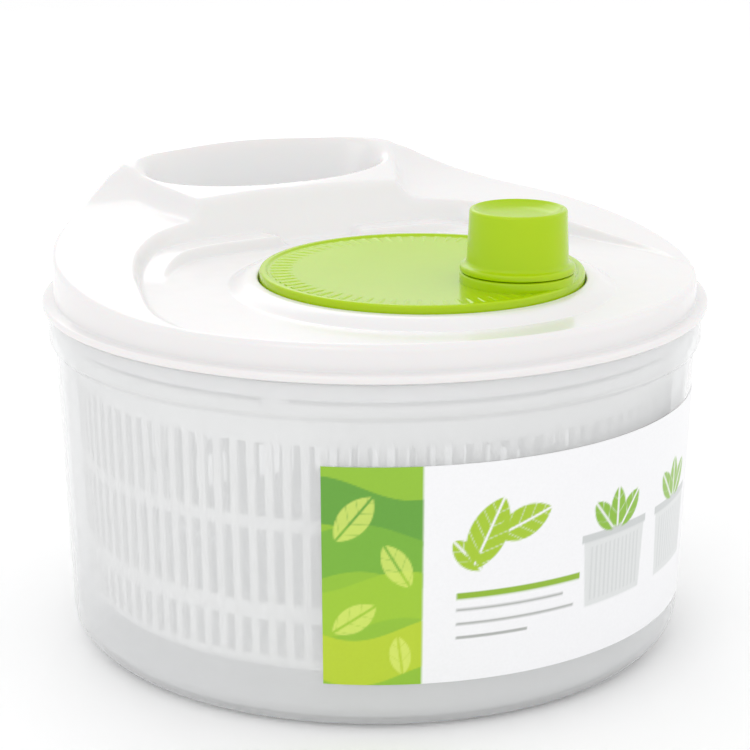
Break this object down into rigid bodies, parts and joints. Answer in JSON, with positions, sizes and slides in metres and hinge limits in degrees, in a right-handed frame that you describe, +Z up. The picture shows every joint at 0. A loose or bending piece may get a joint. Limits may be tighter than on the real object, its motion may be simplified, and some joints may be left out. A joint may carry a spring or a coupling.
{
  "type": "salad spinner",
  "caption": "Crank salad spinner: clear bowl, slotted basket, press-on lid with a raised handle and an off-centre crank disc that drives the basket through gears.",
  "frame": {"origin": "centre of the underside of the bowl, on the surface it stands on", "axes": "+Z up along the axis of the bowl, +Y towards the lid's handle, the crank axis 30 mm towards -Y"},
  "size_m": [0.206, 0.206, 0.1414],
  "materials": {
    "frosted_pp": "frosted translucent",
    "white_pp": "satin",
    "milky_pp": "gloss",
    "lime_abs": "gloss",
    "pom": "satin",
    "printed_film": "printed film",
    "screw_steel": "zinc plated"
  },
  "bodies": {
    "bowl_body": {"bowl": "frosted_pp", "label": "printed_film"},
    "basket_body": {"basket": "white_pp"},
    "lid_body": {"lid": "milky_pp", "gear_housing": "white_pp", "housing_screws": "screw_steel", "pinion_bush": "pom"},
    "driver_body": {"pinion": "pom", "thrust_washer": "screw_steel", "drive_plate": "white_pp", "drive_washer": "screw_steel", "drive_screw": "screw_steel"},
    "crank_body": {"crank_disc": "lime_abs", "ring_gear": "pom", "disc_screws": "screw_steel", "crank_washer": "screw_steel", "crank_screw": "screw_steel"},
    "knob_body": {"knob": "lime_abs", "knob_washer": "screw_steel", "knob_screw": "screw_steel"}
  },
  "joints": [
    {"name": "lid_lift", "type": "slide", "parent": "bowl_body", "child": "lid_body", "axis": [0, 0, 1], "range_m": [0, 0.08]},
    {"name": "crank_spin", "type": "hinge", "parent": "lid_body", "child": "crank_body", "pos_m": [0, -0.03, 0.11], "axis": [0, 0, 1], "continuous": true},
    {"name": "knob_spin", "type": "hinge", "parent": "crank_body", "child": "knob_body", "pos_m": [0.01726, -0.05647, 0.13], "axis": [0, 0, 1], "continuous": true},
    {"name": "driver_spin", "type": "hinge", "parent": "lid_body", "child": "driver_body", "pos_m": [0, 0, 0.1], "axis": [0, 0, 1], "continuous": true},
    {"name": "basket_spin", "type": "hinge", "parent": "bowl_body", "child": "basket_body", "pos_m": [0, 0, 0.02], "axis": [0, 0, 1], "continuous": true}
  ],
  "couplings": [
    {"joint": "driver_spin", "follows": "crank_spin", "ratio": 4},
    {"joint": "basket_spin", "follows": "crank_spin", "ratio": 4}
  ]
}
